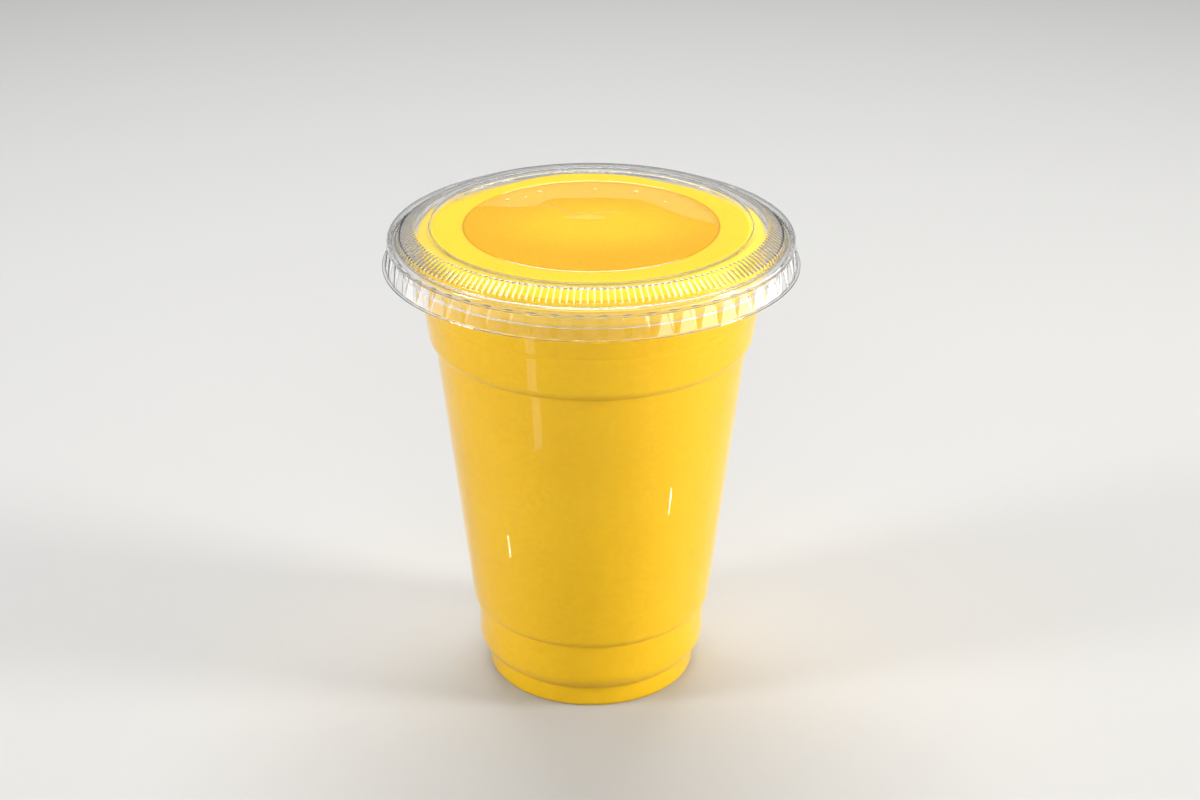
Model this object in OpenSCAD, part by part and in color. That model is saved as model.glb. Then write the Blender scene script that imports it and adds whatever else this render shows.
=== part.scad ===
// Mango smoothie in a clear takeaway cup with a flat press-on lid.
// Three pieces: the thermoformed cup, the lid pressed over its rolled rim,
// and the drink, which fills the cup up to the underside of the lid.

/* [Cup foot and lower band] */
// Radius of the foot that the cup stands on
foot_r = 26.6; // [20:0.1:45]
// Height of the foot, up to the lower crease
foot_h = 5.6; // [4.6:0.1:7.5]
// Rounding of the foot's bottom edge
foot_round = 1.4; // [0.6:0.1:2]
// Width of the ring that touches the table
foot_ring_w = 2.2; // [1.5:0.1:4]
// How high the middle of the base is raised above the table
base_recess = 2; // [1:0.1:3]
// How far the crease above the foot is drawn in from the foot
crease_in = 0.2; // [0:0.05:0.6]
// How far the lower band stands out from the foot
band_out = 2.6; // [1:0.1:4]
// Height of the lower band, from crease to crease
band_h = 13.7; // [7:0.1:30]
// Height of the rounded step at the bottom of the lower band
band_step_h = 4.8; // [3.6:0.1:6]

/* [Cup body] */
// How far the bottom of the tapered body stands out from the lower band
body_out = 1.4; // [0.6:0.1:3]
// How much wider in radius the body is at its top than at its bottom
body_flare = 8.1; // [1:0.1:20]
// Height of the tapered body, from crease to crease
body_h = 72.7; // [30:0.1:130]
// Height of the rounded step at the bottom of the body
body_step_h = 2.3; // [1.8:0.1:3.5]

/* [Cup collar and rim] */
// How far the bottom of the collar stands out from the top of the body
collar_out = 1.6; // [0.6:0.1:3]
// How much wider in radius the collar is at its top than at its bottom
collar_flare = 2.6; // [0.5:0.1:6]
// Height of the collar above the upper crease
collar_h = 20; // [14:0.1:26]
// Height of the rounded step at the bottom of the collar
collar_step_h = 2.6; // [2:0.1:3.5]
// Height of the stacking line above the upper crease
stack_line_z = 11.5; // [6:0.1:13]
// Depth of the stacking line
stack_line_depth = 0.1; // [0.05:0.05:0.2]
// Half the height of the stacking line
stack_line_half = 0.3; // [0.2:0.05:0.6]
// Height from the top of the collar to the top of the rolled rim
rim_h = 6; // [5.5:0.1:8]
// How far the rolled rim stands out from the collar
rim_reach = 5.6; // [5.4:0.1:6.2]
// Outer radius of the roll
curl_r = 2.35; // [2:0.05:2.6]
// Thickness of the cup's wall
wall = 0.45; // [0.3:0.05:0.6]

/* [Lid] */
// Thickness of the lid
lid_t = 0.4; // [0.3:0.05:0.5]
// Height of the lid's middle above the rolled rim
lid_rise = 3.3; // [2.6:0.1:5]
// Radius of the thin round line in the middle of the lid
disc_r = 31.2; // [10:0.1:38]
// Depth of that line
disc_line = 0.15; // [0.05:0.05:0.2]
// Half the width of that line
disc_line_half = 0.3; // [0.2:0.05:0.6]
// Width of the raised ring round the lid's flat middle
ring_w = 4.1; // [2:0.1:8]
// Height of that ring above the flat middle
ring_rise = 0.8; // [0.5:0.1:1.5]
// How far the raised ring's outer edge stands out from the collar
ring_over = 0.1; // [0:0.1:0.6]
// Height that the sloping shoulder drops
shoulder_drop = 2.4; // [2:0.1:3]
// Width of the steep foot of the sloping shoulder
shoulder_foot = 0.2; // [0.1:0.05:0.4]
// Width of the groove between the shoulder and the bead
groove_w = 0.3; // [0.2:0.05:0.6]
// Clearance between the rolled rim and the lid's groove
seat_gap = 0.05; // [0.05:0.05:0.3]
// Radius of the lid's rounded outer bead
bead_round = 1.2; // [0.9:0.05:1.4]
// Height of the bead's straight side
bead_side = 0.7; // [0.4:0.05:1]
// How far the bead stands out from the rolled rim
bead_out = 1.25; // [1.1:0.05:2]

/* [Skirt of the lid] */
// Number of flutes round the skirt
flutes = 56; // [36:1:72]
// Depth of each flute at the top of the skirt
flute_depth = 0.8; // [0.3:0.05:0.9]
// How far the ledge under the bead reaches in past the flutes
ledge_lap = 0.2; // [0.1:0.05:0.3]
// Height of the skirt, from the bead to the lip
skirt_h = 5.8; // [5:0.1:7]
// How far the skirt flares out from top to bottom
skirt_flare = 0.7; // [0.3:0.1:1.2]
// How far the lip stands out at the foot of the skirt
lip_w = 0.6; // [0.3:0.1:1.2]

/* [Drink] */
// Clearance between the drink and the plastic round it
fill_gap = 0.05; // [0.02:0.01:0.1]
// Width of the air space left between the drink and the lid's shoulder
air_w = 0.2; // [0.1:0.1:1]
// Height above the collar at which the drink leaves the cup's wall
fill_h = 1.5; // [0.5:0.1:2]
// How far inside the raised ring the drink leaves the lid and slopes down
edge_in = 0.7; // [0.3:0.1:4]

/* [Hidden] */
$fn = 120;
// Straight pieces in a small arc, and in the roll
arc_steps = 6;
curl_steps = 16;
// Angle at which the roll ends, under its outer edge
curl_end = -60;
// How far the top of the skirt stays inside the bead's face
skirt_inset = 0.05;
// How far the lip reaches in past the skirt
lip_lap = 0.2;

// Heights, stacked up from the table
band_z = foot_h;
body_z = band_z + band_h;
collar_z = body_z + body_h;
collar_top_z = collar_z + collar_h;
rim_top_z = collar_top_z + rim_h;

// Radii of the cup, each from the one below it
band_r = foot_r + band_out;
body_low_r = band_r + body_out;
body_top_r = body_low_r + body_flare;
collar_low_r = body_top_r + collar_out;
collar_r = collar_low_r + collar_flare;

// Centre of the rolled rim
curl_c = [collar_r + rim_reach - curl_r, rim_top_z - curl_r];

// Lid levels and radii, worked out from the rim that it is pressed over
groove_z = rim_top_z + seat_gap + lid_t;
flat_z = rim_top_z + lid_rise;
ring_z = flat_z + ring_rise;
ring_r = collar_r + ring_over;
flat_r = ring_r - ring_w;
bead_r = collar_r + rim_reach + bead_out;
bead_c = [bead_r - bead_round, groove_z];
groove_out_r = bead_c[0] - bead_round;
groove_in_r = groove_out_r - groove_w;
shoulder_r = groove_in_r - shoulder_foot;
shoulder_z = ring_z - shoulder_drop;
ledge_z = bead_c[1] - bead_side;
ledge_in_r = bead_r - lid_t - flute_depth - ledge_lap;
lip_z = ledge_z - skirt_h;
skirt_low_r = bead_r + skirt_flare;

// Point at an angle on a circle
function on_circle(c, r, a) = c + r * [cos(a), sin(a)];

// Points of an arc from angle a to angle b
function arc(c, r, a, b, n) = [for (i = [0 : n]) on_circle(c, r, a + (b - a) * i / n)];

// Rounded step that swells out and up from the crease point p to the point q,
// an arc of a circle that ends upright at q
function step_up(p, q) =
    let (out = q[0] - p[0], up = q[1] - p[1],
         r = (out * out + up * up) / (2 * out))
    arc([q[0] - r, q[1]], r, -asin(up / r), 0, arc_steps);

// The same points, last one first
function reverse(pts) = [for (i = [len(pts) - 1 : -1 : 0]) pts[i]];

// A wall line moved sideways
function sideways(pts, d) = [for (p = pts) [p[0] + d, p[1]]];

// Point on the collar's straight taper, at a height above the upper crease
// and pressed in by a depth
function on_collar(h, depth) =
    [collar_low_r + collar_flare * (h - collar_step_h) / (collar_h - collar_step_h) - depth,
     collar_z + h];

// Side of the cup from the crease above the foot to the top of the collar
side = concat(
    step_up([foot_r - crease_in, band_z], [band_r, band_z + band_step_h]),
    step_up([band_r, body_z], [body_low_r, body_z + body_step_h]),
    step_up([body_top_r, collar_z], [collar_low_r, collar_z + collar_step_h]),
    [on_collar(stack_line_z - stack_line_half, 0),
     on_collar(stack_line_z, stack_line_depth),
     on_collar(stack_line_z + stack_line_half, 0),
     on_collar(collar_h, 0)]
);

// Underside and outer edge of the foot, from the middle outwards
foot_edge_c = [foot_r - foot_round, foot_round];
ring_out_r = foot_r - foot_round;
ring_in_r = ring_out_r - foot_ring_w;
under = concat(
    [[0, base_recess], [ring_in_r - base_recess, base_recess], [ring_in_r, 0]],
    arc(foot_edge_c, foot_round, -90, 0, arc_steps)
);

// Inner face of the base, a set distance inside the outer face
function base_inside(d) = concat(
    [[0, base_recess + d], [ring_in_r - base_recess + d / 2, base_recess + d],
     [ring_in_r + d / 2, d]],
    arc(foot_edge_c, max(foot_round - d, 0.1), -90, 0, arc_steps)
);

// Cup: a thin wall all over, ending in the roll
module cup() {
    color([0.93, 0.95, 0.96, 0.45])
    rotate_extrude()
    polygon(concat(
        under,
        side,
        arc(curl_c, curl_r - wall, 180, curl_end, curl_steps),
        arc(curl_c, curl_r, curl_end, 180, curl_steps),
        reverse(sideways(side, -wall)),
        reverse(base_inside(wall))
    ));
}

// Outer face of the lid, from the middle to the foot of the bead
lid_top = concat(
    [[0, flat_z], [disc_r - disc_line_half, flat_z], [disc_r, flat_z - disc_line],
     [disc_r + disc_line_half, flat_z], [flat_r, flat_z],
     [flat_r + ring_rise / 2, ring_z], [ring_r, ring_z],
     [shoulder_r, shoulder_z], [groove_in_r, groove_z]],
    arc(bead_c, bead_round, 180, 0, 2 * arc_steps),
    [[bead_r, ledge_z - lid_t]]
);

// Inner face of the lid, from the ledge under the bead back to the middle
lid_under = concat(
    [[ledge_in_r, ledge_z - lid_t], [ledge_in_r, ledge_z], [bead_r - lid_t, ledge_z]],
    arc(bead_c, bead_round - lid_t, 0, 180, 2 * arc_steps),
    [[groove_out_r + lid_t / 2, groove_z - lid_t], [groove_in_r - lid_t / 2, groove_z - lid_t],
     [shoulder_r - lid_t, shoulder_z - lid_t / 2], [ring_r - lid_t / 2, ring_z - lid_t],
     [flat_r + ring_rise / 2 + lid_t / 2, ring_z - lid_t],
     [flat_r + lid_t / 2, flat_z - lid_t], [0, flat_z - lid_t]]
);

// One ring of skirt points: ridges on the circle, valleys drawn in by depth
function skirt_ring(r, depth, z) =
    [for (i = [0 : 2 * flutes - 1])
        let (a = i * 180 / flutes, rr = (i % 2 == 0) ? r : r - depth)
        [rr * cos(a), rr * sin(a), z]];

// Fluted skirt: flutes are deepest under the bead and fade out at the lip
module skirt() {
    n = 2 * flutes;
    top_r = bead_r - skirt_inset;
    top_z = ledge_z - lid_t / 2;
    low_z = lip_z + lid_t / 2;
    pts = concat(
        skirt_ring(top_r, flute_depth, top_z),
        skirt_ring(skirt_low_r, 0, low_z),
        skirt_ring(skirt_low_r - lid_t, 0, low_z),
        skirt_ring(top_r - lid_t, flute_depth, top_z)
    );
    faces = [for (k = [0 : 3]) for (i = [0 : n - 1])
        let (a = k * n + i, b = k * n + (i + 1) % n,
             c = ((k + 1) % 4) * n + (i + 1) % n, d = ((k + 1) % 4) * n + i)
        each (i % 2 == 0 ? [[a, b, c], [a, c, d]] : [[a, b, d], [b, c, d]])];
    polyhedron(points = pts, faces = faces);
}

// Lip: flat ring at the foot of the skirt
module lip() {
    translate([0, 0, lip_z])
    rotate_extrude()
    translate([skirt_low_r - lid_t - lip_lap, 0])
    square([lip_lap + lid_t + lip_w, lid_t]);
}

// Lid: flat top with a raised ring, sloping shoulder, bead and fluted skirt
module lid() {
    color([0.95, 0.96, 0.97, 0.35])
    union() {
        rotate_extrude() polygon(concat(lid_top, lid_under));
        skirt();
        lip();
    }
}

// Drink: fills the cup up to the lid's flat middle, and falls away under its raised ring
module smoothie() {
    top_z = flat_z - lid_t - fill_gap;
    neck_r = ring_r - lid_t - air_w;
    color([0.98, 0.78, 0.22])
    rotate_extrude()
    polygon(concat(
        base_inside(wall + fill_gap),
        sideways(side, -wall - fill_gap),
        [[collar_r - wall - fill_gap, collar_top_z + fill_h], [neck_r, rim_top_z],
         [flat_r - edge_in, top_z], [0, top_z]]
    ));
}

cup();
lid();
smoothie();
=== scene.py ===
"""Mango smoothie in a clear takeaway cup with a flat lid. Sizes are in millimetres until a mesh is made."""
import math

import bpy
import numpy as np
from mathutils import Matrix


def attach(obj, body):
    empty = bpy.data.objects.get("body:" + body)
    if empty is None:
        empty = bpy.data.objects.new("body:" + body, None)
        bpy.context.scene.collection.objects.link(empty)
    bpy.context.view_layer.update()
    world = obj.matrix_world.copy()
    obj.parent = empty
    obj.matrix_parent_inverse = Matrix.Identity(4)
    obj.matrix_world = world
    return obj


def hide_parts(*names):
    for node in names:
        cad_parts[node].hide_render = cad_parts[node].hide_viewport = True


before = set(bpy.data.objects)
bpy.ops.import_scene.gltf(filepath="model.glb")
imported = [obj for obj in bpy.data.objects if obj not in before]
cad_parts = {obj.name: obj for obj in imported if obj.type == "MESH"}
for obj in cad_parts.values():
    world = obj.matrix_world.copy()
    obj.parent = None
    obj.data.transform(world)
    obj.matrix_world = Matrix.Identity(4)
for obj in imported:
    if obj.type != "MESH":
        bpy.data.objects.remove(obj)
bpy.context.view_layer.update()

# ---------------------------------------------------------------- cup
# The cup is one clear sheet, heated and drawn into a mould: a foot, a lower band, a tapered body
# and a collar, each standing out from the one below on a rounded step, and a rim rolled outwards.
foot_r = 26.6
foot_round = 1.4
foot_ring_w = 2.2
base_recess = 2.0
band_r = 29.2
body_low_r = 30.6
body_top_r = 38.7
collar_low_r = 40.3
collar_r = 42.9
crease_in = 0.2
band_z = 5.6
band_full_z = 10.4
body_z = 19.3
body_full_z = 21.6
collar_z = 92.0
collar_full_z = 94.6
stack_line_z = 103.5
stack_line_depth = 0.1
stack_line_half = 0.3
collar_top_z = 112.0
curl_r = 2.35
curl_c = (46.15, 115.65)
curl_end = math.radians(-60)
wall = 0.45
cup_columns = 360


def step_up(p, q, n=12):
    """Arc of a circle that leaves the crease point p outwards and stands upright where it reaches q."""
    out = q[0] - p[0]
    up = q[1] - p[1]
    r = (out * out + up * up) / (2 * out)
    a = np.linspace(-math.asin(up / r), 0, n)
    return np.column_stack([q[0] - r + r * np.cos(a), q[1] + r * np.sin(a)])


def arc(c, r, a, b, n):
    """Points on the circle about c, from angle a to angle b."""
    t = np.linspace(a, b, n)
    return np.column_stack([c[0] + r * np.cos(t), c[1] + r * np.sin(t)])


def rounded(corners, n=5, beyond=0.5):
    """Line through (radius, height, cut) corners, where each corner is replaced by the parabola that
    leaves one side and joins the next a cut length away from it. One more point, a share of the cut
    beyond each end, keeps the straight runs flat."""
    corners = np.asarray(corners, float)
    at = corners[1:-1, :2]
    cut = corners[1:-1, 2:]
    back = corners[:-2, :2] - at
    on = corners[2:, :2] - at
    back = back / np.linalg.norm(back, axis=1, keepdims=True) * cut
    on = on / np.linalg.norm(on, axis=1, keepdims=True) * cut
    t = np.linspace(0, 1, n)[None, :, None]
    bend = at[:, None] + (1 - t) ** 2 * back[:, None] + t**2 * on[:, None]
    before = at[:, None] + (1 + beyond) * back[:, None]
    after = at[:, None] + (1 + beyond) * on[:, None]
    bend = np.concatenate([before, bend, after], 1)
    line = np.concatenate([corners[:1, :2], bend.reshape(-1, 2), corners[-1:, :2]])
    apart = np.linalg.norm(np.diff(line, axis=0), axis=1) > 1e-4
    return line[np.concatenate([[True], apart])]


def with_cut(line, cut):
    """The points of a line, each with the same corner cut."""
    line = np.asarray(line, float)
    return np.column_stack([line, np.full(len(line), cut)])


def round_surface(name, radius, height, angle, closed=False):
    """Surface round the Z axis from arrays of radius, height and angle, one row for each point of the
    profile: x = r cos a, y = r sin a, z = h. A closed profile joins its last row to its first, and an
    open one ends in a single point on the axis at both ends."""
    rows, columns = np.broadcast_shapes(radius.shape, angle.shape)
    angle = np.broadcast_to(angle, (rows, columns))
    place = np.empty((rows, columns, 3))
    place[..., 0] = radius * np.cos(angle)
    place[..., 1] = radius * np.sin(angle)
    place[..., 2] = height
    place *= 0.001
    number = np.arange(rows * columns).reshape(rows, columns)
    if closed:
        number = np.concatenate([number, number[:1]])
        points = place.reshape(-1, 3)
    else:
        points = place[1:-1].reshape(-1, 3)
        number = number[1:-1] - columns
        points = np.concatenate([points, place[:1].mean(1), place[-1:].mean(1)])
    beside = np.roll(number, -1, axis=1)
    quads = np.stack([number[:-1], beside[:-1], beside[1:], number[1:]], -1).reshape(-1, 4)
    faces = quads.tolist()
    if not closed:
        low = np.full(columns, len(points) - 2)
        high = np.full(columns, len(points) - 1)
        faces += np.stack([low, beside[0], number[0]], -1).tolist()
        faces += np.stack([number[-1], beside[-1], high], -1).tolist()
    mesh = bpy.data.meshes.new(name)
    mesh.from_pydata(points.tolist(), [], faces)
    mesh.shade_smooth()
    piece = bpy.data.objects.new(name, mesh)
    bpy.context.scene.collection.objects.link(piece)
    return piece


def all_round(columns):
    """Evenly spaced angles round the axis, as one row."""
    return np.linspace(0, 2 * math.pi, columns, endpoint=False)[None, :]


ring_out_r = foot_r - foot_round
ring_in_r = ring_out_r - foot_ring_w
under = [
    (0, base_recess, 0),
    (ring_in_r - base_recess, base_recess, 0.8),
    (ring_in_r, 0, 0.5),
    (ring_out_r, 0, 0),
]
foot_edge = arc((ring_out_r, foot_round), foot_round, -math.pi / 2, 0, 9)[1:]
collar_slope = (collar_r - collar_low_r) / (collar_top_z - collar_full_z)


def on_collar(z, depth):
    """Point on the collar's straight taper, pressed in by a depth."""
    return (collar_low_r + collar_slope * (z - collar_full_z) - depth, z)


side = np.concatenate(
    [
        with_cut([(foot_r - crease_in, band_z)], 0.25),
        with_cut(step_up((foot_r - crease_in, band_z), (band_r, band_full_z))[1:], 0),
        with_cut([(band_r, body_z)], 0.25),
        with_cut(step_up((band_r, body_z), (body_low_r, body_full_z), 7)[1:], 0),
        with_cut([(body_top_r, collar_z)], 0.25),
        with_cut(step_up((body_top_r, collar_z), (collar_low_r, collar_full_z), 9)[1:], 0),
        with_cut([on_collar(stack_line_z - 2 * stack_line_half, 0)], 0.2),
        with_cut([on_collar(stack_line_z, stack_line_depth)], 0.2),
        with_cut([on_collar(stack_line_z + 2 * stack_line_half, 0)], 0.2),
    ]
)


def inwards(line, d):
    """The same corners moved towards the axis by d."""
    return line - [d, 0, 0]


base_top = [
    (ring_out_r, wall, 0),
    (ring_in_r + wall / 2, wall, 0.5),
    (ring_in_r - base_recess + wall / 2, base_recess + wall, 0.8),
    (0, base_recess + wall, 0),
]
foot_inside = arc((ring_out_r, foot_round), foot_round - wall, 0, -math.pi / 2, 7)[:-1]
cup_line = rounded(
    np.concatenate(
        [
            under,
            with_cut(foot_edge, 0),
            side,
            with_cut([(collar_r, collar_top_z)], 0.6),
            with_cut(arc(curl_c, curl_r - wall, math.pi, curl_end, 25), 0),
            with_cut(arc(curl_c, curl_r, curl_end, math.pi, 29), 0),
            with_cut([(collar_r - wall, collar_top_z)], 0.6),
            inwards(side[::-1], wall),
            with_cut(foot_inside, 0),
            base_top,
        ]
    )
)
cup = round_surface("cup_shell", cup_line[:, :1], cup_line[:, 1:], all_round(cup_columns))


def nodes_of(name):
    """A new material with only its output, and a shorthand that adds a node with given settings."""
    material = bpy.data.materials.new(name)
    material.use_nodes = True
    tree = material.node_tree
    tree.nodes.clear()

    def add(kind, inputs=(), **settings):
        node = tree.nodes.new(kind)
        for key, value in settings.items():
            setattr(node, key, value)
        for key, value in dict(inputs).items():
            if isinstance(value, bpy.types.NodeSocket):
                tree.links.new(value, node.inputs[key])
            else:
                node.inputs[key].default_value = value
        return node

    return material, add


def clear_plastic(name, ior, lamp_share, rough, draw_marks, marks_height):
    """Clear plastic sheet: glass whose roughness and faint draw marks come from noise on its own place,
    and which lets lamplight through to what is behind it."""
    material, add = nodes_of(name)
    place = add("ShaderNodeTexCoord").outputs["Object"]
    haze = add("ShaderNodeTexNoise", {"Vector": place, "Scale": 60.0, "Detail": 3.0})
    gloss = add("ShaderNodeMapRange", {"Value": haze.outputs["Fac"], "From Min": 0.3, "From Max": 0.7})
    gloss.inputs["To Min"].default_value = rough[0]
    gloss.inputs["To Max"].default_value = rough[1]
    stretched = add("ShaderNodeMapping", {"Vector": place, "Scale": draw_marks})
    marks = add("ShaderNodeTexNoise", {"Vector": stretched.outputs["Vector"], "Scale": 1.0, "Detail": 2.0})
    relief = add("ShaderNodeBump", {"Height": marks.outputs["Fac"], "Distance": marks_height})
    relief.inputs["Strength"].default_value = 1.0
    glass = add("ShaderNodeBsdfPrincipled", {"Base Color": (1.0, 1.0, 1.0, 1), "IOR": ior})
    glass.inputs["Transmission Weight"].default_value = 1.0
    material.node_tree.links.new(gloss.outputs["Result"], glass.inputs["Roughness"])
    material.node_tree.links.new(relief.outputs["Normal"], glass.inputs["Normal"])
    through = add("ShaderNodeBsdfTransparent", {"Color": (lamp_share, lamp_share, lamp_share, 1)})
    path = add("ShaderNodeLightPath")
    mix = add("ShaderNodeMixShader", {0: path.outputs["Is Shadow Ray"]})
    material.node_tree.links.new(glass.outputs[0], mix.inputs[1])
    material.node_tree.links.new(through.outputs[0], mix.inputs[2])
    add("ShaderNodeOutputMaterial", {"Surface": mix.outputs[0]})
    return material


cup_clear = clear_plastic("cup_clear_plastic", 1.38, 0.97, (0.02, 0.06), (90.0, 90.0, 8.0), 0.00003)
cup.data.materials.append(cup_clear)
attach(cup, "root")
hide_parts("cup")

# ---------------------------------------------------------------- lid
# The lid is a thinner clear sheet: a flat middle with a fine round line, a raised ring, a sloping
# shoulder with close radial ribs, a groove and a round bead that is pressed over the cup's rim.
lid_t = 0.4
flat_z = 121.3
ring_z = 122.1
disc_r = 31.2
disc_line = 0.15
disc_line_half = 0.3
flat_r = 38.9
ring_r = 43.0
shoulder_r = 46.85
shoulder_z = 119.7
groove_in_r = 47.05
groove_z = 118.45
bead_round = 1.2
bead_c = (48.55, 118.45)
bead_r = 49.75
ledge_z = 117.75
ledge_in_r = 48.35
ribs = 180
rib_columns = 6
rib_height = 0.30
rib_from_r = 43.15
rib_to_r = 46.85

slope = np.array([0.10, 0.16, 0.38, 0.62, 0.84, 0.91])[:, None]
shoulder = (1 - slope) * np.array([[ring_r, ring_z]]) + slope * np.array([[shoulder_r, shoulder_z]])
lid_top = np.concatenate(
    [
        [(0, flat_z, 0)],
        [(disc_r - 3 * disc_line_half, flat_z, 0)],
        [(disc_r - disc_line_half, flat_z, 0)],
        [(disc_r, flat_z - disc_line, 0)],
        [(disc_r + disc_line_half, flat_z, 0)],
        [(disc_r + 3 * disc_line_half, flat_z, 0)],
        [(flat_r - 0.6, flat_z, 0)],
        [(flat_r, flat_z, 0.2)],
        [(flat_r + 0.4, ring_z, 0.2)],
        [(flat_r + 1.0, ring_z, 0)],
        [(ring_r - 0.7, ring_z, 0)],
        [(ring_r, ring_z, 0.3)],
        with_cut(shoulder, 0),
        [(shoulder_r, shoulder_z, 0.2)],
        [(groove_in_r, groove_z, 0.1)],
        with_cut(arc(bead_c, bead_round, math.pi, 0, 15), 0),
        [(bead_r, ledge_z - lid_t, 0.15)],
    ]
)
shoulder_under = shoulder[[5, 4, 2, 1]] - [lid_t / 2, lid_t * 0.8]
lid_under = np.concatenate(
    [
        [(ledge_in_r, ledge_z - lid_t, 0.1)],
        [(ledge_in_r, ledge_z, 0.1)],
        [(bead_r - lid_t, ledge_z, 0.2)],
        with_cut(arc(bead_c, bead_round - lid_t, 0, math.pi, 9), 0),
        [(groove_in_r + 0.5, groove_z - lid_t, 0.1)],
        [(groove_in_r - lid_t / 2, groove_z - lid_t, 0.1)],
        [(shoulder_r - lid_t, shoulder_z - lid_t / 2, 0.2)],
        with_cut(shoulder_under, 0),
        [(ring_r - lid_t / 2, ring_z - lid_t, 0.3)],
        [(ring_r - 0.9, ring_z - lid_t, 0)],
        [(flat_r + 0.4 + lid_t / 2, ring_z - lid_t, 0.2)],
        [(flat_r + lid_t / 2, flat_z - lid_t, 0.2)],
        [(flat_r - 0.6, flat_z - lid_t, 0)],
        [(0, flat_z - lid_t, 0)],
    ]
)
lid_line = rounded(np.concatenate([lid_top, lid_under]), 3, 0)
around = all_round(ribs * rib_columns)
rib_share = np.clip((lid_line[:, :1] - rib_from_r) / 0.25, 0, 1)
rib_share = rib_share * np.clip((rib_to_r - lid_line[:, :1]) / 0.25, 0, 1)
rib_wave = 1 - np.abs(np.sin(ribs * around / 2))
lid_height = lid_line[:, 1:] - rib_height * rib_share * rib_wave
lid_cap = round_surface("lid_cap", lid_line[::-1, :1], lid_height[::-1], around)
lid_cap.data.set_sharp_from_angle(angle=math.radians(50))

# Skirt of the lid: the same sheet turned down outside the bead, with wedge flutes that are deepest
# under the bead and fade out towards the thin lip along its lower edge.
flutes = 56
flute_depth = 0.8
skirt_top_r = 49.7
skirt_top_z = 117.5
skirt_low_r = 50.45
skirt_low_z = 112.3
tooth_top = 0.13
tooth_low = 0.36
lip_in_r = 49.85
lip_out_r = 51.05
lip_z = 111.95
lip_t = 0.4

down = np.linspace(0, 1, 9)[:, None]
half_tooth = tooth_top + (tooth_low - tooth_top) * down
in_tooth = np.linspace(-1, 1, 5)[None, :] * half_tooth
across = np.linspace(0, 1, 13)[None, 1:-1]
in_flute = half_tooth + (1 - 2 * half_tooth) * across
share = np.concatenate([in_tooth, in_flute], 1)
flute_at = np.concatenate([np.zeros((1, 5)), 0.5 - 0.5 * np.cos(2 * math.pi * across)], 1)
skirt_angle = (share[:, None, :] + np.arange(flutes)[None, :, None]) * (2 * math.pi / flutes)
skirt_angle = skirt_angle.reshape(len(down), -1)
pressed = np.tile(flute_depth * (1 - down) * flute_at, (1, flutes))
face_r = skirt_top_r + (skirt_low_r - skirt_top_r) * down - pressed
tooth_share = np.concatenate([in_tooth, np.repeat(half_tooth, 11, 1)], 1)
flat_tooth = np.cos(half_tooth * 2 * math.pi / flutes) / np.cos(tooth_share * 2 * math.pi / flutes)
face_r = face_r * np.tile(flat_tooth, (1, flutes))
face_z = np.broadcast_to(skirt_top_z + (skirt_low_z - skirt_top_z) * down, face_r.shape)
lip_line = [(lip_out_r - 0.1, lip_z + lip_t), (lip_out_r, lip_z + lip_t / 2), (lip_out_r - 0.1, lip_z)]
lip_line += [(lip_in_r + 0.05, lip_z)]
lip_line = np.array(lip_line)[:, :, None] * np.ones((1, 1, face_r.shape[1]))
low_angle = np.repeat(skirt_angle[-1:], 4, 0)
skirt = round_surface(
    "lid_skirt",
    np.concatenate([face_r, lip_line[:, 0], face_r[::-1] - lid_t])[::-1],
    np.concatenate([face_z, lip_line[:, 1], face_z[::-1]])[::-1],
    np.concatenate([skirt_angle, low_angle, skirt_angle[::-1]])[::-1],
    closed=True,
)
skirt.data.set_sharp_from_angle(angle=math.radians(12))

lid_clear = clear_plastic("lid_clear_plastic", 1.54, 0.88, (0.02, 0.06), (30.0, 30.0, 30.0), 0.00001)
for piece in (lid_cap, skirt):
    piece.data.materials.append(lid_clear)
    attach(piece, "root")
    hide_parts("lid")

# ---------------------------------------------------------------- smoothie
# The drink is blended mango, thick and even, filled to the lid. It reaches into the plastic
# all round, touches the lid round its middle, and dips away from it in shallow pockets.
in_wall = 0.22
in_lid = 0.2
neck_r = 42.75
brim_z = 118.2
drink_columns = 420

drink_side = np.concatenate(
    [
        [(0, base_recess + in_wall, 0)],
        [(ring_in_r - base_recess + in_wall, base_recess + in_wall, 0.8)],
        [(ring_in_r + in_wall, in_wall, 0.5)],
        [(ring_out_r, in_wall, 0)],
        with_cut(arc((ring_out_r, foot_round), foot_round - in_wall, -math.pi / 2, 0, 7)[1:], 0),
        inwards(side, in_wall),
        [(collar_r - in_wall, collar_top_z, 0.4)],
        [(neck_r, collar_top_z + 1.5, 0.4)],
        [(neck_r, brim_z, 0.3)],
        [(neck_r - 0.4, brim_z, 0)],
    ]
)
drink_side = rounded(drink_side)
top_r = np.concatenate([np.linspace(neck_r - 0.6, 2, 118), [1.0, 0.0]])
top_line = np.column_stack([top_r, np.full(len(top_r), flat_z - in_lid)])
drink_line = np.concatenate([drink_side, top_line])
drink_angle = all_round(drink_columns)


def soft_step(x):
    """Smooth rise from 0 to 1 as x goes from 0 to 1."""
    x = np.clip(x, 0, 1)
    return x * x * (3 - 2 * x)


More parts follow.
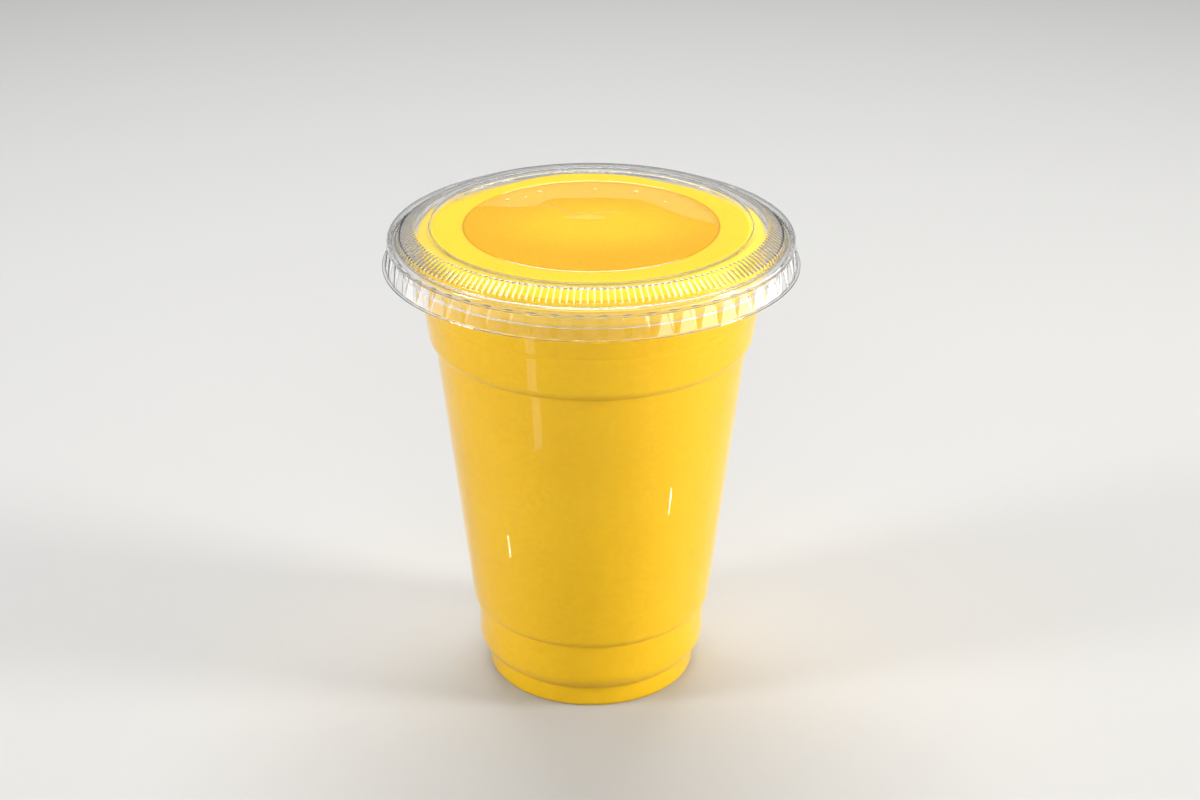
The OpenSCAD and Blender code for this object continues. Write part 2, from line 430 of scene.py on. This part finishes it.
top_x = top_r[:, None] * np.cos(drink_angle)
top_y = top_r[:, None] * np.sin(drink_angle)
shore_x = [-40, -30, -28, -26, -22.6, -18.6, -15.2, -12.5, -10, -7.8, 2.2, 12.2, 17, 21.8, 27, 31, 40]
shore_y = [6, 9, 12, 13.5, 12.7, 12, 13.5, 15.5, 18.5, 18.8, 19.3, 17.8, 13, 7.1, 3, -1, -4]
behind = top_y - np.interp(top_x, shore_x, shore_y)
inside = soft_step((disc_r - 0.2 - top_r[:, None]) / 0.8)
drop = 0.7 * soft_step(behind / 1.2 + 0.5) * inside
crease_x = [-17, -15.2, -12, -7.2, -4.2, -0.5, 3.7, 5.6, 9]
crease_y = [12.6, 13.5, 14.2, 11.3, 8.1, 6.8, 9.2, 8.8, 9.6]
off_crease = np.abs(top_y - np.interp(top_x, crease_x, crease_y))
crease_ends = soft_step((top_x + 17) / 3) * soft_step((9 - top_x) / 4)
drop = np.maximum(drop, 0.5 * soft_step((0.9 - off_crease) / 0.6) * crease_ends)
patch = np.hypot((top_x + 1.5) / 6.5, (top_y - 5.0) / 1.7)
drop = np.maximum(drop, 0.35 * soft_step((1.3 - patch) / 0.9))
ripple = 0.12 * np.sin(0.35 * top_x + 1.1 * np.sin(0.21 * top_y)) * np.sin(0.28 * top_y + 0.6)
drop = drop + ripple * soft_step((drop - 0.3) / 0.2)
edge_angle = np.radians([0, 14, 24, 41, 57, 72, 86, 102, 115, 125, 138, 151, 160, 180])
edge_r = [38.6, 38.4, 37.0, 36.2, 35.2, 36.4, 36.8, 37.2, 36.4, 35.5, 34.9, 36.0, 38.2, 38.6]
leaves_r = np.interp(drink_angle, edge_angle, edge_r, right=38.6)
past = top_r[:, None] - leaves_r
bend = 0.5
slope_down = flat_z - in_lid - brim_z - bend
falls = bend * soft_step(past / 0.6) + slope_down * np.clip(past / (neck_r - leaves_r), 0, 1)
drop = drop + falls
drink_height = np.repeat(drink_line[:, 1:], drink_columns, 1)
drink_height[len(drink_side):] -= drop
smoothie = round_surface("mango_smoothie", drink_line[:, :1], drink_height, drink_angle)

# Tones of the drink, by place in metres: the side, the middle under the lid's round line with a paler heart,
# and the paler rim outside it. A thin dark ring under the lid's pressed round line is painted shade. Fine
# pulp gives flecks and grain.
top_starts_z = 0.1175
top_full_z = 0.1200
middle_r = 0.0310
rim_from_r = 0.0313
shade_line_r = 0.03115
shade_line_far = 0.00040
shade_line_full = 0.00015
shade_line_share = 0.8
heart_centre = (0.002, 0.0, 0)
heart_stretch = (1, 1.5, 0)
heart_far = 0.033
heart_full = 0.008
heart_share = 0.8
side_deep = (0.82, 0.505, 0.003, 1)
side_pale = (0.87, 0.560, 0.008, 1)
middle_deep = (0.665, 0.370, 0.002, 1)
middle_pale = (0.710, 0.430, 0.004, 1)
heart_tone = (0.80, 0.520, 0.010, 1)
rim_deep = (0.77, 0.545, 0.022, 1)
rim_pale = (0.81, 0.600, 0.036, 1)
# Dark tone of the painted shade along the lid's pressed round line.
painted_shade_line_tone = (0.55, 0.27, 0.01, 1)

mango, add = nodes_of("mango_smoothie")
place = add("ShaderNodeTexCoord").outputs["Object"]
apart = add("ShaderNodeSeparateXYZ", {0: place})
flat_place = add("ShaderNodeVectorMath", {0: place, 1: (1, 1, 0)}, operation="MULTIPLY")
from_axis = add("ShaderNodeVectorMath", {0: flat_place.outputs[0]}, operation="LENGTH")
on_top = add("ShaderNodeMapRange", {"Value": apart.outputs["Z"]})
on_top.inputs["From Min"].default_value = top_starts_z
on_top.inputs["From Max"].default_value = top_full_z
zone = add("ShaderNodeMapRange", {"Value": from_axis.outputs["Value"]})
zone.inputs["From Min"].default_value = middle_r
zone.inputs["From Max"].default_value = rim_from_r
blotch = add("ShaderNodeTexNoise", {"Vector": place, "Scale": 35.0, "Detail": 4.0, "Roughness": 0.5})
pulp = add("ShaderNodeTexNoise", {"Vector": place, "Scale": 900.0, "Detail": 3.0, "Roughness": 0.6})
side_tone = add("ShaderNodeMix", {"Factor": blotch.outputs["Fac"]}, data_type="RGBA")
side_tone.inputs[6].default_value = side_deep
side_tone.inputs[7].default_value = side_pale
disc_tone = add("ShaderNodeMix", {"Factor": blotch.outputs["Fac"]}, data_type="RGBA")
disc_tone.inputs[6].default_value = middle_deep
disc_tone.inputs[7].default_value = middle_pale
heart_place = add("ShaderNodeVectorMath", {0: flat_place.outputs[0], 1: heart_centre}, operation="SUBTRACT")
heart_shape = add("ShaderNodeVectorMath", {0: heart_place.outputs[0], 1: heart_stretch}, operation="MULTIPLY")
heart_off = add("ShaderNodeVectorMath", {0: heart_shape.outputs[0]}, operation="LENGTH")
heart = add("ShaderNodeMapRange", {"Value": heart_off.outputs["Value"]})
heart.interpolation_type = "SMOOTHSTEP"
heart.inputs["From Min"].default_value = heart_far
heart.inputs["From Max"].default_value = heart_full
heart.inputs["To Max"].default_value = heart_share
disc_lit = add("ShaderNodeMix", {"Factor": heart.outputs[0]}, data_type="RGBA")
disc_lit.inputs[7].default_value = heart_tone
rim_tone = add("ShaderNodeMix", {"Factor": blotch.outputs["Fac"]}, data_type="RGBA")
rim_tone.inputs[6].default_value = rim_deep
rim_tone.inputs[7].default_value = rim_pale
top_tone = add("ShaderNodeMix", {"Factor": zone.outputs[0]}, data_type="RGBA")
tone = add("ShaderNodeMix", {"Factor": on_top.outputs[0]}, data_type="RGBA")
link = mango.node_tree.links.new
link(disc_tone.outputs[2], disc_lit.inputs[6])
link(disc_lit.outputs[2], top_tone.inputs[6])
link(rim_tone.outputs[2], top_tone.inputs[7])
link(side_tone.outputs[2], tone.inputs[6])
link(top_tone.outputs[2], tone.inputs[7])
fleck = add("ShaderNodeMapRange", {"Value": pulp.outputs["Fac"], "From Min": 0.3, "From Max": 0.7})
fleck.inputs["To Min"].default_value = 0.94
fleck.inputs["To Max"].default_value = 1.03
# Painted shade: a thin dark ring on the drink's top under the lid's pressed round line, darkest at its
# middle.
line_off = add("ShaderNodeMath", {0: from_axis.outputs["Value"], 1: shade_line_r}, operation="SUBTRACT")
line_away = add("ShaderNodeMath", {0: line_off.outputs[0]}, operation="ABSOLUTE")
line = add("ShaderNodeMapRange", {"Value": line_away.outputs[0]})
line.inputs["From Min"].default_value = shade_line_far
line.inputs["From Max"].default_value = shade_line_full
line.inputs["To Max"].default_value = shade_line_share
shade_line_on_top = add("ShaderNodeMath", {0: line.outputs[0], 1: on_top.outputs[0]}, operation="MULTIPLY")
painted_shade_lined = add("ShaderNodeMix", {"Factor": shade_line_on_top.outputs[0]}, data_type="RGBA")
painted_shade_lined.inputs[7].default_value = painted_shade_line_tone
link(tone.outputs[2], painted_shade_lined.inputs[6])
shade = add("ShaderNodeMix", {"Factor": 1.0}, data_type="RGBA", blend_type="MULTIPLY")
link(painted_shade_lined.outputs[2], shade.inputs[6])
link(fleck.outputs[0], shade.inputs[7])
wet = add("ShaderNodeMapRange", {"Value": blotch.outputs["Fac"], "From Min": 0.3, "From Max": 0.7})
wet.inputs["To Min"].default_value = 0.28
wet.inputs["To Max"].default_value = 0.42
grain = add("ShaderNodeBump", {"Height": pulp.outputs["Fac"], "Strength": 0.3, "Distance": 0.0002})
drink = add("ShaderNodeBsdfPrincipled", {"IOR": 1.34, "Specular IOR Level": 0.06})
drink.inputs["Subsurface Weight"].default_value = 0.15
drink.inputs["Subsurface Radius"].default_value = (1.0, 0.55, 0.12)
drink.inputs["Subsurface Scale"].default_value = 0.002
link(shade.outputs[2], drink.inputs["Base Color"])
link(wet.outputs[0], drink.inputs["Roughness"])
link(grain.outputs[0], drink.inputs["Normal"])
add("ShaderNodeOutputMaterial", {"Surface": drink.outputs[0]})
smoothie.data.materials.append(mango)
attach(smoothie, "root")
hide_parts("smoothie")

# ---------------------------------------------------------------- froth
# A few small bubbles of froth, of the same drink, float in the shallow pocket behind the middle and
# reach up to the lid. Each is a flattened ball: x and y by its radius, z by half its radius.
bubble_at = np.array([(-21.0, 18.6), (-13.0, 24.6), (11.3, 24.6), (-16.5, 20.5), (1.0, 26.5), (18.5, 17.0)])
bubble_r = np.array([0.55, 0.7, 0.65, 0.4, 0.5, 0.45])
bubble_z = 120.55
flatness = 0.5
bubble_columns = 18
bubble_rows = 9
bubble_grid = bubble_rows * bubble_columns
turn = np.linspace(0, 2 * math.pi, bubble_columns, endpoint=False)[None, None, :]
rise = np.linspace(-math.pi / 2, math.pi / 2, bubble_rows + 2)[None, 1:-1, None]
size = bubble_r[:, None, None]
bubble = np.empty((len(bubble_r), bubble_rows, bubble_columns, 3))
bubble[..., 0] = bubble_at[:, 0, None, None] + size * np.cos(rise) * np.cos(turn)
bubble[..., 1] = bubble_at[:, 1, None, None] + size * np.cos(rise) * np.sin(turn)
bubble[..., 2] = bubble_z + flatness * size * np.sin(rise)
ends = np.repeat(np.column_stack([bubble_at, np.full(len(bubble_r), bubble_z)])[:, None], 2, 1)
ends[:, 0, 2] -= flatness * bubble_r
ends[:, 1, 2] += flatness * bubble_r
points = np.concatenate([bubble.reshape(len(bubble_r), -1, 3), ends], 1)
ring = np.arange(bubble_grid).reshape(bubble_rows, bubble_columns)
beside = np.roll(ring, -1, axis=1)
quads = np.stack([ring[:-1], beside[:-1], beside[1:], ring[1:]], -1).reshape(-1, 4)
low_fan = np.stack([np.full(bubble_columns, bubble_grid), beside[0], ring[0]], -1)
high_fan = np.stack([ring[-1], beside[-1], np.full(bubble_columns, bubble_grid + 1)], -1)
step = points.shape[1] * np.arange(len(bubble_r))[:, None, None]
faces = []
for corners in (quads, low_fan, high_fan):
    faces += (corners[None] + step).reshape(-1, corners.shape[1]).tolist()
froth_mesh = bpy.data.meshes.new("froth_bubbles")
froth_mesh.from_pydata((points.reshape(-1, 3) * 0.001).tolist(), [], faces)
froth_mesh.shade_smooth()
froth = bpy.data.objects.new("froth_bubbles", froth_mesh)
bpy.context.scene.collection.objects.link(froth)
froth_paint, add = nodes_of("froth")
place = add("ShaderNodeTexCoord").outputs["Object"]
speckle = add("ShaderNodeTexNoise", {"Vector": place, "Scale": 1500.0, "Detail": 2.0})
froth_tone = add("ShaderNodeMix", {"Factor": speckle.outputs["Fac"]}, data_type="RGBA")
froth_tone.inputs[6].default_value = (0.88, 0.62, 0.10, 1)
froth_tone.inputs[7].default_value = (0.94, 0.80, 0.32, 1)
froth_relief = add("ShaderNodeBump", {"Height": speckle.outputs["Fac"], "Strength": 0.3, "Distance": 0.0001})
film = add("ShaderNodeBsdfPrincipled", {"Roughness": 0.12, "IOR": 1.34})
froth_paint.node_tree.links.new(froth_tone.outputs[2], film.inputs["Base Color"])
froth_paint.node_tree.links.new(froth_relief.outputs[0], film.inputs["Normal"])
add("ShaderNodeOutputMaterial", {"Surface": film.outputs[0]})
froth_mesh.materials.append(froth_paint)
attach(froth, "root")
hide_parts("smoothie")

# ---------------------------------------------------------------- stage, lamps and camera
# A pale matt floor, a pale room, soft lamps at both sides and above, and the camera. Far away the
# floor is dark but glows evenly, so that pools of lamplight do not show there. The room gives less
# light than it shows, and shows at a middle level through the plastic.
near_floor = (0.62, 0.62, 0.61, 1)
far_floor = (0.12, 0.12, 0.12, 1)
far_from = 0.65
far_full = 1.15
far_glow = 0.46
room_as_light = 0.22
room_through_plastic = 0.45
room_in_view = 0.65
floor_mesh = bpy.data.meshes.new("floor")
floor_mesh.from_pydata([(-4, -4, 0), (4, -4, 0), (4, 4, 0), (-4, 4, 0)], [], [(0, 1, 2, 3)])
floor = bpy.data.objects.new("floor", floor_mesh)
bpy.context.scene.collection.objects.link(floor)
floor_paint, add = nodes_of("pale_floor")
place = add("ShaderNodeTexCoord").outputs["Object"]
distance = add("ShaderNodeVectorMath", {"Vector": place}, operation="LENGTH")
far = add("ShaderNodeMapRange", {"Value": distance.outputs["Value"]})
far.interpolation_type = "SMOOTHSTEP"
far.inputs["From Min"].default_value = far_from
far.inputs["From Max"].default_value = far_full
dust = add("ShaderNodeTexNoise", {"Vector": place, "Scale": 40.0, "Detail": 3.0})
matt_tone = add("ShaderNodeMix", {"Factor": far.outputs[0]}, data_type="RGBA")
matt_tone.inputs[6].default_value = near_floor
matt_tone.inputs[7].default_value = far_floor
glow = add("ShaderNodeMath", {0: far.outputs[0], 1: far_glow}, operation="MULTIPLY")
dust_relief = add("ShaderNodeBump", {"Height": dust.outputs["Fac"], "Strength": 0.05, "Distance": 0.0002})
matt = add("ShaderNodeBsdfPrincipled", {"Roughness": 0.7, "Specular IOR Level": 0.0})
matt.inputs["Emission Color"].default_value = (0.97, 0.98, 1.0, 1)
for source, socket in ((matt_tone.outputs[2], "Base Color"), (glow.outputs[0], "Emission Strength")):
    floor_paint.node_tree.links.new(source, matt.inputs[socket])
floor_paint.node_tree.links.new(dust_relief.outputs[0], matt.inputs["Normal"])
add("ShaderNodeOutputMaterial", {"Surface": matt.outputs[0]})
floor_mesh.materials.append(floor_paint)

scene = bpy.context.scene
scene.view_settings.view_transform = "Standard"
scene.cycles.max_bounces = 16
scene.cycles.transmission_bounces = 16
scene.cycles.transparent_max_bounces = 32
world = bpy.data.worlds.new("pale_room")
world.use_nodes = True
room = world.node_tree.nodes["Background"]
room.inputs["Color"].default_value = (0.95, 0.97, 1.0, 1)
seen = world.node_tree.nodes.new("ShaderNodeLightPath")
unscattered = world.node_tree.nodes.new("ShaderNodeMath")
unscattered.operation = "LESS_THAN"
unscattered.inputs[1].default_value = 0.5
through = world.node_tree.nodes.new("ShaderNodeMath")
through.operation = "MULTIPLY"
through_level = world.node_tree.nodes.new("ShaderNodeMath")
through_level.operation = "MULTIPLY_ADD"
through_level.inputs[1].default_value = room_through_plastic - room_as_light
through_level.inputs[2].default_value = room_as_light
room_level = world.node_tree.nodes.new("ShaderNodeMapRange")
room_level.inputs["To Max"].default_value = room_in_view
join = world.node_tree.links.new
join(seen.outputs["Diffuse Depth"], unscattered.inputs[0])
join(unscattered.outputs[0], through.inputs[0])
join(seen.outputs["Is Transmission Ray"], through.inputs[1])
join(through.outputs[0], through_level.inputs[0])
join(through_level.outputs[0], room_level.inputs["To Min"])
join(seen.outputs["Is Camera Ray"], room_level.inputs["Value"])
join(room_level.outputs["Result"], room.inputs["Strength"])
world.cycles.sampling_method = "NONE"
scene.world = world


def soft_lamp(name, place, aim, width, height, power, colour):
    """Rectangular lamp at a place, turned to face a point."""
    lamp = bpy.data.lights.new(name, "AREA")
    lamp.shape = "RECTANGLE"
    lamp.size = width
    lamp.size_y = height
    lamp.energy = power
    lamp.color = colour
    holder = bpy.data.objects.new(name, lamp)
    scene.collection.objects.link(holder)
    holder.visible_transmission = False
    holder.location = place
    toward = np.array(aim) - np.array(place)
    turn = math.atan2(toward[1], toward[0]) - math.pi / 2
    tilt = math.pi / 2 + math.atan2(toward[2], math.hypot(toward[0], toward[1]))
    holder.rotation_euler = (tilt, 0, turn)


middle = (0, 0, 0.07)
soft_lamp("right_lamp", (1.00, -0.20, 0.42), middle, 0.25, 0.50, 8.2, (1.0, 0.98, 0.95))
soft_lamp("left_lamp", (-1.00, -0.33, 0.48), middle, 0.25, 0.50, 6.2, (0.98, 0.98, 1.0))
soft_lamp("top_lamp", (0.0, 0.40, 0.85), middle, 0.70, 0.35, 6.2, (1.0, 0.99, 0.98))
soft_lamp("front_lamp", (0.0, -1.0, 0.60), middle, 0.80, 0.50, 3.6, (1.0, 0.99, 0.98))
bpy.data.objects["front_lamp"].visible_glossy = False


def shine_card(name, place, aim, width, height, power, colour):
    """Soft lamp that shows only as a reflection in glossy plastic, as a white card beside the set does."""
    soft_lamp(name, place, aim, width, height, power, colour)
    card = bpy.data.objects[name]
    card.visible_diffuse = False
    card.visible_camera = False


lid_middle = (0, 0, 0.115)
right_low = (0.28, -0.13, 0.044)
right_low_aim = (0, -0.13, 0.044)
streak_at = (-0.080, -0.105, 0.020)
streak_aim = (-0.013, -0.036, 0.092)
right_glint_at = (0.081, -0.048, 0.011)
right_glint_aim = (0.019, -0.0295, 0.061)
left_glint_at = (-0.066, -0.033, 0.011)
left_glint_aim = (-0.020, -0.027, 0.048)
shine_card("right_low_card", right_low, right_low_aim, 0.57, 0.065, 0.60, (1.0, 0.99, 0.97))
shine_card("right_high_card", (0.30, -0.03, 0.098), lid_middle, 0.26, 0.04, 0.17, (1.0, 0.99, 0.97))
shine_card("top_card", (0.0, -0.08, 0.85), lid_middle, 0.36, 0.20, 3.2, (1.0, 1.0, 0.99))
shine_card("left_card", (-0.30, 0.02, 0.078), lid_middle, 0.20, 0.08, 0.08, (0.97, 0.97, 1.0))
shine_card("low_card", streak_at, streak_aim, 0.014, 0.030, 0.0022, (1.0, 1.0, 1.0))
shine_card("right_glint", right_glint_at, right_glint_aim, 0.0015, 0.007, 0.0010, (1.0, 1.0, 1.0))
shine_card("left_glint", left_glint_at, left_glint_aim, 0.0015, 0.006, 0.0005, (1.0, 1.0, 1.0))

view = bpy.data.cameras.new("camera")
view.lens = 68.37
view.sensor_width = 36
view.shift_x = 0.0073
camera = bpy.data.objects.new("camera", view)
scene.collection.objects.link(camera)
camera.location = (0, -0.520, 0.3171)
camera.rotation_euler = (math.radians(64.951), 0, 0)
scene.camera = camera
